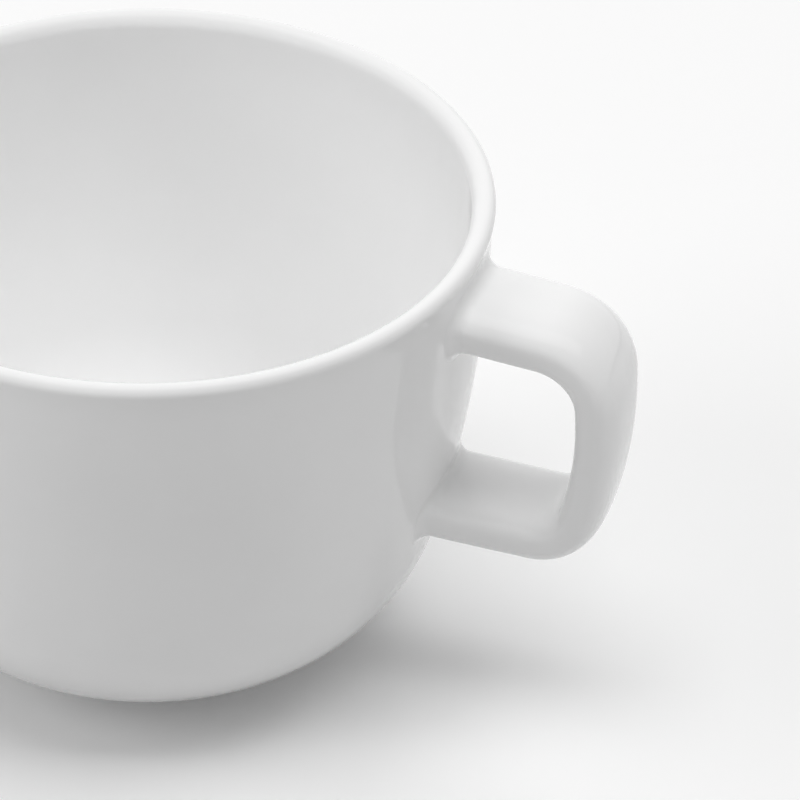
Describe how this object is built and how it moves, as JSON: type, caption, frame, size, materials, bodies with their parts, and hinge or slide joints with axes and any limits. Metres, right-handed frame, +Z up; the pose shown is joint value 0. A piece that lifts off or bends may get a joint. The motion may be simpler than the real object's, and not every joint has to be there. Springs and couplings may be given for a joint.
{
  "type": "espresso cup",
  "caption": "Small round porcelain espresso cup with a rounded base on a foot ring and a squarish loop handle joined to the wall with slip.",
  "frame": {"origin": "on the standing plane, at the centre of the footprint of bowl and handle together; the bowl's axis is 7.53 mm from it towards -X", "axes": "+Z up along the bowl's axis, +X towards the handle, Y across the handle; the cup is symmetric about the XZ plane"},
  "size_m": [0.08, 0.065, 0.0485],
  "materials": {
    "glazed_porcelain": "white porcelain under a clear glossy glaze, with the flat of the foot ring left bare",
    "glazed_slip": "porcelain slip under the same clear glossy glaze, a little uneven"
  },
  "bodies": {
    "root": {"cup_body": "glazed_porcelain", "handle": "glazed_porcelain", "upper_slip_joint": "glazed_slip", "lower_slip_joint": "glazed_slip"}
  },
  "joints": []
}
